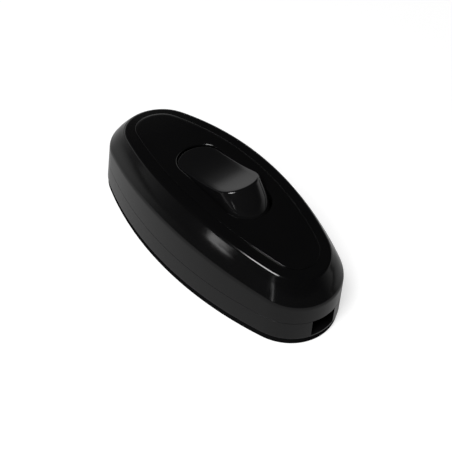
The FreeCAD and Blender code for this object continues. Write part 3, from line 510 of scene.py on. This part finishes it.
def swept_rings(name, rings, closed):
    """A skin drawn ring by ring: a circle is extruded and each new ring is set in its place."""
    deselect()
    bpy.ops.mesh.primitive_circle_add(vertices=len(rings[0]), radius=MM)
    piece = bpy.context.object
    piece.name = name
    mesh = piece.data
    mesh.name = name
    bpy.ops.object.mode_set(mode="EDIT")
    bpy.ops.mesh.select_all(action="SELECT")
    shape = bmesh.from_edit_mesh(mesh)
    sample = shape.verts.layers.int.new("sample")
    ring_mark = shape.verts.layers.int.new("ring")
    for number, vert in enumerate(shape.verts):
        vert[sample] = number
        vert.co = Vector(rings[0][number]) * MM
    bmesh.update_edit_mesh(mesh)
    following = rings[1:] + ([rings[0]] if closed else [])
    for number, ring in enumerate(following, 1):
        bpy.ops.mesh.extrude_edges_indiv()
        shape = bmesh.from_edit_mesh(mesh)
        sample = shape.verts.layers.int["sample"]
        ring_mark = shape.verts.layers.int["ring"]
        for vert in shape.verts:
            if vert.select:
                vert[ring_mark] = number
                vert.co = Vector(ring[vert[sample]]) * MM
        bmesh.update_edit_mesh(mesh)
    bpy.ops.mesh.select_all(action="SELECT")
    bpy.ops.mesh.remove_doubles(threshold=WELD)
    bpy.ops.mesh.normals_make_consistent(inside=False)
    bpy.ops.object.mode_set(mode="OBJECT")
    return piece


def round_rings(piece, edges):
    """Bevel rings of a swept skin into rounds: ring number, width in millimetres and segments."""
    work_on(piece)
    bpy.context.tool_settings.mesh_select_mode = (False, True, False)
    bpy.ops.object.mode_set(mode="EDIT")
    for ring, width, segments in edges:
        bpy.ops.mesh.select_all(action="DESELECT")
        shape = bmesh.from_edit_mesh(piece.data)
        ring_mark = shape.verts.layers.int["ring"]
        for edge in shape.edges:
            if all(vert[ring_mark] == ring for vert in edge.verts):
                edge.select = True
        bmesh.update_edit_mesh(piece.data)
        bpy.ops.mesh.bevel(offset=width * MM, segments=segments, profile=0.5, affect="EDGES")
    bpy.ops.object.mode_set(mode="OBJECT")


def drum(radius, low, high, place=(0, 0), sides=48, lying=False):
    """A plain cylinder between two heights, or along Y where it lies."""
    deselect()
    middle = (place[0] * MM, place[1] * MM, (low + high) / 2 * MM)
    bpy.ops.mesh.primitive_cylinder_add(vertices=sides, radius=radius * MM, depth=(high - low) * MM,
                                        location=(0, 0, 0) if lying else middle)
    made = bpy.context.object
    if lying:
        made.rotation_euler = (math.pi / 2, 0, 0)
        made.location = (place[0] * MM, (low + high) / 2 * MM, place[1] * MM)
    bpy.ops.object.transform_apply(location=True, rotation=True, scale=True)
    return made


def block(low, high):
    """A box between two corners."""
    deselect()
    bpy.ops.mesh.primitive_cube_add(size=MM)
    made = bpy.context.object
    made.scale = [b - a for a, b in zip(low, high)]
    made.location = [(a + b) / 2 * MM for a, b in zip(low, high)]
    bpy.ops.object.transform_apply(location=True, rotation=True, scale=True)
    return made


def join_solid(piece, tool, operation):
    """Add a tool to a piece or take it away, and drop the tool."""
    change = piece.modifiers.new(operation.lower(), "BOOLEAN")
    change.operation = operation
    change.object = tool
    change.solver = "EXACT"
    work_on(piece)
    bpy.ops.object.modifier_apply(modifier=change.name)
    bpy.data.objects.remove(tool, do_unlink=True)


def smooth(piece):
    work_on(piece)
    bpy.ops.object.shade_smooth_by_angle(angle=math.radians(SMOOTH_ANGLE))


def cover_columns(rays):
    """The cover's profile on each line, from its inner shoulder over the skirt to its inner rim."""
    columns = []
    for ray in rays:
        start, across, up = ray
        shoulder, rim = shoulder_and_rim(ray)
        inner_shoulder, inner_rim = shoulder_and_rim(ray, WALL_THICKNESS, ROOF_THICKNESS)
        foot = (reach(ray, wall_outline(PARTING_HEIGHT)), PARTING_HEIGHT)
        inner_foot = (reach(ray, wall_outline(PARTING_HEIGHT, WALL_THICKNESS)), PARTING_HEIGHT)
        panel_far = reach(ray, PANEL)
        panel_foot = (panel_far, crown(start + across * panel_far))
        panel_edge = (panel_far, panel_foot[1] + PANEL_STEP)
        margin = panel_far - PANEL_MARGIN
        panel_in = (margin, crown(start + across * margin) + PANEL_STEP)
        profile = [inner_shoulder, inner_foot]
        profile += near_corner(inner_foot, foot, shoulder, FOOT_SUPPORT)
        profile += near_corner(foot, shoulder, rim, SHOULDER_ROUND + SUPPORT)
        profile += swell(shoulder, rim)
        profile += near_corner(shoulder, rim, panel_foot, RIM_ROUND + SUPPORT)
        profile += [between(rim, panel_foot, EDGE_SHARE), panel_foot, panel_edge, panel_in]
        profile.append(inner_rim)
        columns.append([(start + across * far, up * far, height) for far, height in profile])
    return columns


def hole_outline(grown_length, grown_radius):
    """The outline of the rocker's hole, grown lengthways and at its radius."""
    return slot_outline(HOLE_LENGTH + grown_length, HOLE_RADIUS + grown_radius,
                        COVER_END_SAMPLES, COVER_SIDE_SAMPLES)


def cover_shell():
    """The cover: leaning wall, round shoulder, swollen skirt, round rim, raised panel, hole."""
    columns = cover_columns(cover_rays())
    rings = [list(ring) for ring in zip(*columns)]
    roof_line = [(x, y) for x, y, _ in rings.pop()]
    panel_line = [(x, y) for x, y, _ in rings[-1]]
    around, lip = hole_outline(LIP_SUPPORT, LIP_SUPPORT), hole_outline(0, 0)
    deep = hole_outline(HOLE_RELIEF, 0)

    def lay(outline, rise):
        rings.append([(x, y, crown(x) + rise) for x, y in outline])

    for share in PANEL_SHARES:
        lay(blend_outlines(panel_line, around, share), PANEL_STEP)
    lip_ring = len(rings)
    lay(lip, PANEL_STEP)
    lay(lip, PANEL_STEP - LIP_DEPTH)
    for share in ROOF_SHARES:
        lay(blend_outlines(deep, roof_line, share), -ROOF_THICKNESS)
    skin = swept_rings("cover_shell", rings, True)
    round_rings(skin, [(COVER_FOOT_RING, PARTING_ROUND, 1), (SHOULDER_RING, SHOULDER_ROUND, 6),
                       (RIM_RING, RIM_ROUND, 6), (PANEL_EDGE_RING, PANEL_EDGE_ROUND, 3),
                       (lip_ring, LIP_ROUND, 5)])
    return skin


def swell(low, high):
    """Points up the skirt, a little proud of the straight line."""
    run, rise = high[0] - low[0], high[1] - low[1]
    span = math.hypot(run, rise)
    points = []
    for share in SWELL_SHARES:
        proud = SKIRT_BULGE * 4 * share * (1 - share)
        x, z = between(low, high, share)
        points.append((x + proud * rise / span, z - proud * run / span))
    return points


def base_shell():
    """The base: flat sole, round foot, small ledge, leaning wall, and the cover's locating lip."""
    rays = cover_rays()
    columns = []
    for ray in rays:
        start, across, up = ray

        def at(height, inset=0.0):
            return reach(ray, (HALF_LENGTH - inset, HALF_WIDTH - inset, END_RADIUS - inset)), height

        wall_low = at(FOOT_HEIGHT, WALL_LEAN * FOOT_HEIGHT)
        wall_top = at(PARTING_HEIGHT, WALL_LEAN * PARTING_HEIGHT)
        ledge = at(FOOT_HEIGHT, WALL_LEAN * FOOT_HEIGHT + FOOT_LEDGE)
        bend = at(*FOOT_BEND)
        sole = at(0.0, FOOT_INSET)
        parting = WALL_LEAN * PARTING_HEIGHT
        lip_low = at(PARTING_HEIGHT, parting + WALL_THICKNESS + LIP_CLEARANCE)
        lip_top = (lip_low[0], PARTING_HEIGHT + LIP_HEIGHT)
        inner_top = at(PARTING_HEIGHT + LIP_HEIGHT, parting + BASE_WALL)
        inner_low = (inner_top[0], FLOOR_THICKNESS)
        profile = [(0.0, 0.0)] + [between((0, 0), sole, share) for share in SOLE_SHARES] + [sole]
        profile += [bend, between(bend, ledge, EDGE_SHARE), ledge, wall_low]
        profile += [between(wall_low, wall_top, share) for share in WALL_SHARES]
        profile += [wall_top, lip_low, lip_top, inner_top, inner_low, (0.0, FLOOR_THICKNESS)]
        columns.append([(start + across * far, up * far, height) for far, height in profile])
    rings = [list(ring) for ring in zip(*columns)]
    skin = swept_rings("base_shell", rings, False)
    round_rings(skin, [(BEND_RING, BEND_ROUND, 4), (LEDGE_EDGE_RING, LEDGE_ROUND, 3),
                       (WALL_TOP_RING, PARTING_ROUND, 1)])
    return skin


def standing_block(place, half_length, half_width, low, high):
    """A box over a place in the plan, between two heights."""
    x, y = place
    return block((x - half_length, y - half_width, low), (x + half_length, y + half_width, high))


def base_inside(base):
    """Towers, cheeks, grip posts and ribs on the tray's floor, then its slots and bores."""
    low = FLOOR_THICKNESS - ROOTED

    def stand(place, half_length, half_width, high):
        join_solid(base, standing_block(place, half_length, half_width, low, high), "UNION")

    def rib(x, y):
        stand((x, y), RIB_HALF_LENGTH, RIB_HALF_THICKNESS, FLOOR_THICKNESS + RIB_HEIGHT)

    for side in (1, -1):
        tower = (SCREW_PLACE[0] * side, -SCREW_PLACE[1] * side)
        join_solid(base, drum(TOWER_RADIUS, low, PARTING_HEIGHT, tower), "UNION")
        stand((0, CHEEK_MIDDLE * side), CHEEK_HALF_LENGTH, CHEEK_THICKNESS / 2, PIVOT_HEIGHT)
        for across in (1, -1):
            post = (GRIP_PLACE[0] * side, GRIP_PLACE[1] * across)
            stand(post, GRIP_POST, GRIP_POST, GRIP_POST_TOP)
            rib(TERMINAL_PLACE[0] * side, TERMINAL_PLACE[1] * across)
        rib(LINK_PLACE[0] * side, LINK_PLACE[1])
    for side in (1, -1):
        inside = side * (HALF_LENGTH - 2 * BASE_WALL)
        outside = side * (HALF_LENGTH + PAST_END)
        slot = block((min(inside, outside), -SLOT_WIDTH / 2, SLOT_SILL),
                     (max(inside, outside), SLOT_WIDTH / 2, ABOVE_TRAY))
        join_solid(base, slot, "DIFFERENCE")
        tower = (SCREW_PLACE[0] * side, -SCREW_PLACE[1] * side)
        join_solid(base, drum(HEAD_RECESS[0], BELOW_SOLE, HEAD_RECESS[1], tower), "DIFFERENCE")
        join_solid(base, drum(HOUSING_BORE, BELOW_SOLE, ABOVE_TRAY, tower, 32), "DIFFERENCE")
        for across in (1, -1):
            post = (GRIP_PLACE[0] * side, GRIP_PLACE[1] * across)
            join_solid(base, drum(GRIP_BORE, *GRIP_BORE_HEIGHTS, post, 24), "DIFFERENCE")
    seat = drum(TRUNNION_RADIUS + SEAT_GAP, -PAST_SIDE, PAST_SIDE, (0, PIVOT_HEIGHT), lying=True)
    join_solid(base, seat, "DIFFERENCE")


def skin_height(x, y):
    """The height of the cover's outer skin over a place."""
    def inside(height):
        return -oval_gap(x, y, *skirt_outline(height))

    return min(root(inside, SHOULDER_HEIGHT, CROWN_HEIGHT + SEARCH_ABOVE_CROWN), crown(x))


def cover_inside(cover):
    """Screw bosses and the ribs that close the trunnion seats, under the roof."""
    for side in (1, -1):
        place = (SCREW_PLACE[0] * side, -SCREW_PLACE[1] * side)
        boss = drum(BOSS_RADIUS, *BOSS_HEIGHTS, place)
        for vert in boss.data.vertices:
            if vert.co.z > (BOSS_HEIGHTS[1] - 1) * MM:
                top = skin_height(vert.co.x / MM, vert.co.y / MM) - BOSS_UNDER_SKIN
                vert.co.z = top * MM
        join_solid(boss, drum(BOSS_BORE, *BOSS_BORE_HEIGHTS, place), "DIFFERENCE")
        join_solid(cover, boss, "UNION")
        middle = CHEEK_MIDDLE * side
        rib = standing_block((0, middle), CHEEK_HALF_LENGTH, CHEEK_THICKNESS / 2,
                             *SEAT_RIB_HEIGHTS)
        seat = drum(TRUNNION_RADIUS + SEAT_GAP, middle - CHEEK_THICKNESS,
                    middle + CHEEK_THICKNESS, (0, PIVOT_HEIGHT), lying=True)
        join_solid(rib, seat, "DIFFERENCE")
        join_solid(cover, rib, "UNION")


def rocker_outline(half_length, radius):
    return slot_outline(half_length, radius, ROCKER_END_SAMPLES, ROCKER_SIDE_SAMPLES)


def rocker_length(height):
    return math.sqrt(ROCKER_REACH ** 2 - height ** 2)


def saddle(x):
    """The height of the rocker's hollowed top over a place along it."""
    far = rocker_length(ROCKER_CORNER)
    radius = (far ** 2 + ROCKER_DIP ** 2) / (2 * ROCKER_DIP)
    return ROCKER_CORNER - ROCKER_DIP + radius - math.sqrt(radius ** 2 - x * x)


def rocker_edge(number):
    """The rocker's round top edge and its saddle, over one point of the outline."""
    def above(height):
        return saddle(outline_at(number, rocker_length(height), ROCKER_RADIUS)[0]) - height

    top = root(above, ROCKER_LOWEST_EDGE, ROCKER_CORNER + 0.5)
    low = top - ROCKER_ROUND
    far = rocker_length(top)
    first = outline_at(number, rocker_length(low), ROCKER_RADIUS) + (low,)
    edge = outline_at(number, far, ROCKER_RADIUS) + (top,)
    x, y = outline_at(number, far - ROCKER_ROUND, ROCKER_RADIUS - ROCKER_ROUND)
    last = (x, y, saddle(x))
    column = []
    for step in range(ROCKER_ROUND_STEPS + 1):
        share = step / ROCKER_ROUND_STEPS
        column.append(tuple((1 - share) ** 2 * a + 2 * share * (1 - share) * b + share ** 2 * c
                            for a, b, c in zip(first, edge, last)))
    for share in ROCKER_TOP_SHARES:
        shrunk = ROCKER_ROUND + (ROCKER_RADIUS - ROCKER_ROUND) * share
        x, y = outline_at(number, far - shrunk, ROCKER_RADIUS - shrunk)
        column.append((x, y, saddle(x)))
    return column


def rocker_button():
    """The rocker: rounded ends that follow its swing, a saddle top with round edges."""
    inner = rocker_length(ROCKER_CEILING) - ROCKER_SKIN
    inner_radius = ROCKER_RADIUS - ROCKER_SKIN
    rings = []

    def lay(half_length, radius, height):
        rings.append([(x, y, height) for x, y in rocker_outline(half_length, radius)])

    for shrunk in (inner_radius, inner_radius / 2, 0.0):
        lay(inner - shrunk, inner_radius - shrunk, ROCKER_CEILING)
    lay(inner, inner_radius, ROCKER_FOOT)
    for height in (ROCKER_FOOT,) + ROCKER_WALL_HEIGHTS:
        lay(rocker_length(height), ROCKER_RADIUS, height)
    columns = [rocker_edge(number) for number in range(len(rings[0]))]
    rings += [list(ring) for ring in zip(*columns)]
    return swept_rings("rocker_button", rings, False)


def outline_at(number, half_length, radius):
    """One point of the rocker's outline, by its number round the outline."""
    half, step = divmod(number, ROCKER_END_SAMPLES + ROCKER_SIDE_SAMPLES)
    return slot_point(1 - 2 * half, step, half_length, radius, ROCKER_END_SAMPLES,
                      ROCKER_SIDE_SAMPLES)


def rocker_inside(rocker):
    """Trunnions, the hub with the plunger's bore, and the web across it."""
    top = ROCKER_CEILING + ROOTED
    hub = drum(HUB_RADIUS, -HUB_DEPTH, top)
    web = ROCKER_RADIUS - ROCKER_SKIN / 2
    join_solid(hub, standing_block((0, 0), TRUNNION_RADIUS, web, ROCKER_FOOT, top), "UNION")
    join_solid(hub, drum(TRUNNION_RADIUS, -TRUNNION_TIP, TRUNNION_TIP, lying=True), "UNION")
    join_solid(hub, drum(PLUNGER_BORE, -HUB_DEPTH - 1, PLUNGER_BORE_TOP), "DIFFERENCE")
    join_solid(rocker, hub, "UNION")


def tilt_rocker(rocker):
    turn = Matrix.Rotation(-ROCKER_TILT, 4, "Y")
    rocker.data.transform(Matrix.Translation((0, 0, PIVOT_HEIGHT * MM)) @ turn)


# Finishes
BLUE_TRACE = 0.05
DRAWN_ALONG_X = (0.08, 1, 1)


def finish_nodes(name):
    """A new material with its nodes, its links and its shader."""
    paint = bpy.data.materials.new(name)
    paint.use_nodes = True
    nodes, links = paint.node_tree.nodes, paint.node_tree.links
    shader = nodes["Principled BSDF"]
    where = nodes.new("ShaderNodeTexCoord")
    return paint, nodes, links, shader, where.outputs["Object"]


def noise(nodes, links, where, scale, detail):
    made = nodes.new("ShaderNodeTexNoise")
    made.inputs["Scale"].default_value = scale
    made.inputs["Detail"].default_value = detail
    links.new(where, made.inputs["Vector"])
    return made.outputs["Fac"]


def bump(nodes, links, factor, shader, strength, depth):
    made = nodes.new("ShaderNodeBump")
    made.inputs["Strength"].default_value = strength
    made.inputs["Distance"].default_value = depth
    links.new(factor, made.inputs["Height"])
    links.new(made.outputs["Normal"], shader.inputs["Normal"])


def tint(nodes, links, factor, shader, dark, light):
    """A base colour that runs between two tints."""
    shade = nodes.new("ShaderNodeValToRGB")
    shade.color_ramp.elements[0].color = tuple(dark) + (1,)
    shade.color_ramp.elements[1].color = tuple(light) + (1,)
    links.new(factor, shade.inputs["Fac"])
    links.new(shade.outputs["Color"], shader.inputs["Base Color"])


def blackish(darkness, share):
    """A share of a black, a trace blue."""
    return darkness * share, darkness * share, darkness * (share + BLUE_TRACE)


def black_moulding(name, darkness, low_gloss, high_gloss):
    """Black moulded plastic: gloss that varies a little, with a faint ripple from the mould."""
    paint, nodes, links, shader, where = finish_nodes(name)
    cloud = noise(nodes, links, where, scale=60, detail=3)
    tint(nodes, links, cloud, shader, blackish(darkness, 0.8), blackish(darkness, 1.2))
    haze = noise(nodes, links, where, scale=350, detail=5)
    links.new(spread(nodes, links, haze, low_gloss, high_gloss), shader.inputs["Roughness"])
    ripple = noise(nodes, links, where, scale=900, detail=2)
    bump(nodes, links, ripple, shader, strength=0.12, depth=0.02 * MM)
    shader.inputs["Specular IOR Level"].default_value = 0.3
    return paint


def matt_shade_moulding(name, darkness):
    """The foot under the tray, matt so that it hardly shines: painted shade, dark like the shade
    under the ledge.
    """
    paint, nodes, links, shader, where = finish_nodes(name)
    grain = noise(nodes, links, where, scale=4000, detail=3)
    tint(nodes, links, grain, shader, blackish(darkness, 0.8), blackish(darkness, 1.3))
    links.new(spread(nodes, links, grain, low=0.6, high=0.8), shader.inputs["Roughness"])
    bump(nodes, links, grain, shader, strength=0.4, depth=0.03 * MM)
    shader.inputs["Specular IOR Level"].default_value = 0
    return paint


def metal(name, colour, roughness, grain_scale):
    """Bare metal with fine drawn lines and a little tarnish."""
    paint, nodes, links, shader, where = finish_nodes(name)
    mapping = nodes.new("ShaderNodeMapping")
    mapping.inputs["Scale"].default_value = DRAWN_ALONG_X
    links.new(where, mapping.inputs["Vector"])
    grain = noise(nodes, links, mapping.outputs["Vector"], scale=grain_scale, detail=4)
    tarnish = noise(nodes, links, where, scale=220, detail=3)
    tint(nodes, links, tarnish, shader, [0.72 * c for c in colour], colour)
    links.new(spread(nodes, links, grain, roughness * 0.7, roughness * 1.3),
              shader.inputs["Roughness"])
    shader.inputs["Metallic"].default_value = 1
    bump(nodes, links, grain, shader, strength=0.1, depth=0.02 * MM)
    return paint


def nylon(name, colour):
    """Plain moulded nylon, a little waxy."""
    paint, nodes, links, shader, where = finish_nodes(name)
    cloud = noise(nodes, links, where, scale=120, detail=4)
    tint(nodes, links, cloud, shader, [0.85 * c for c in colour], colour)
    wax = noise(nodes, links, where, scale=600, detail=3)
    links.new(spread(nodes, links, wax, low=0.4, high=0.6), shader.inputs["Roughness"])
    ripple = noise(nodes, links, where, scale=1500, detail=2)
    bump(nodes, links, ripple, shader, strength=0.15, depth=0.02 * MM)
    return paint


def all_finishes():
    """One finish for each material slot of the record."""
    return {
        "casing_black": black_moulding("black_cover_moulding", 0.003, 0.1, 0.15),
        "base_black": black_moulding("black_tray_moulding", 0.0038, 0.12, 0.18),
        "rocker_black": black_moulding("black_rocker_moulding", 0.005, 0.09, 0.14),
        "plunger_nylon": nylon("natural_nylon", (0.78, 0.76, 0.7)),
        "grip_nylon": nylon("black_nylon", (0.02, 0.02, 0.021)),
        "spring_steel": metal("spring_wire", (0.56, 0.56, 0.58), 0.3, 900),
        "contact_brass": metal("stamped_brass", (0.72, 0.52, 0.24), 0.3, 700),
        "terminal_brass": metal("cut_brass", (0.7, 0.5, 0.22), 0.38, 500),
        "tip_silver": metal("silver_alloy", (0.82, 0.81, 0.78), 0.25, 1200),
        "screw_steel": metal("zinc_plated_steel", (0.62, 0.63, 0.64), 0.32, 800),
    }


photo_camera()
floor()
tent()
for row in LAMPS:
    lamp(*row)

finishes = all_finishes()
slots = {entry["node"]: entry["material_slot"] for entry in frame["record"]["subparts"]}
for name, node in frame["nodes"].items():
    node.data.materials.clear()
    node.data.materials.append(finishes[slots[name]])

cover = cover_shell()
cover_inside(cover)
smooth(cover)
cover.data.materials.append(finishes["casing_black"])
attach(cover, "casing")
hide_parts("cover")

base = base_shell()
base_inside(base)
smooth(base)
base.data.materials.append(finishes["base_black"])
# The foot band between the sole and the ledge takes a matt finish with no shine: painted shade
# under the ledge.
base.data.materials.append(matt_shade_moulding("matt_foot_painted_shade", 0.006))
for face in base.data.polygons:
    if SOLE_SKIN * MM < face.center.z < (FOOT_HEIGHT - LEDGE_SKIN) * MM:
        face.material_index = 1
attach(base, "casing")
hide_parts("base")

rocker = rocker_button()
rocker_inside(rocker)
tilt_rocker(rocker)
smooth(rocker)
rocker.data.materials.append(finishes["rocker_black"])
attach(rocker, "rocker_body")
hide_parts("rocker")

bpy.context.scene.view_settings.view_transform = "Standard"
